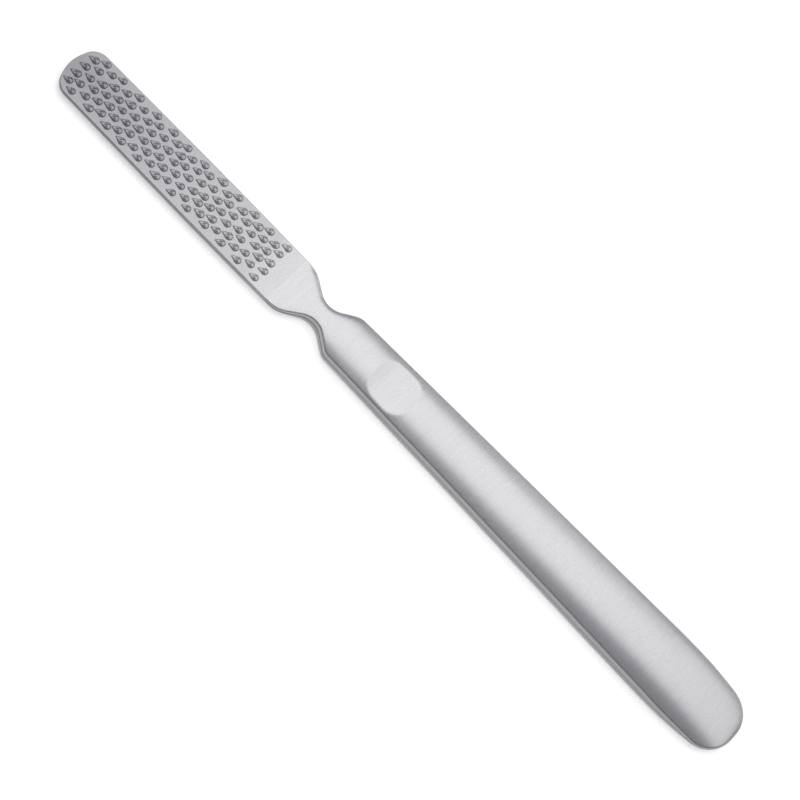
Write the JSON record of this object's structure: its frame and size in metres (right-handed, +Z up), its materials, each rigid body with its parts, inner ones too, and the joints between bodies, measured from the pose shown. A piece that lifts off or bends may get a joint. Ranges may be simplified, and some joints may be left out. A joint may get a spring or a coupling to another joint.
{
  "type": "foot file",
  "caption": "Slim metal foot file: flat round-nosed blade with staggered teardrop teeth, waisted neck and a tapered hollow handle with a thumb dish.",
  "frame": {"origin": "middle of the bounding box, on the plane the flat belly of the handle lies on", "axes": "+X along the tool from the blade's tip to the butt, +Z up out of the toothed face and the thumb dish, +Y across"},
  "size_m": [0.2, 0.0164, 0.0069],
  "materials": {
    "blade_steel": "satin, finely ground, with raised teeth",
    "shell_steel": "satin, fine bead-blasted grain",
    "filler_cement": "matt cast resin, hidden inside the handle",
    "weld_steel": "ground flush with the side wall"
  },
  "bodies": {
    "root": {"rasp_blade": "blade_steel", "handle_upper_shell": "shell_steel", "handle_lower_shell": "shell_steel", "handle_filler": "filler_cement", "seam_weld": "weld_steel"}
  },
  "joints": []
}
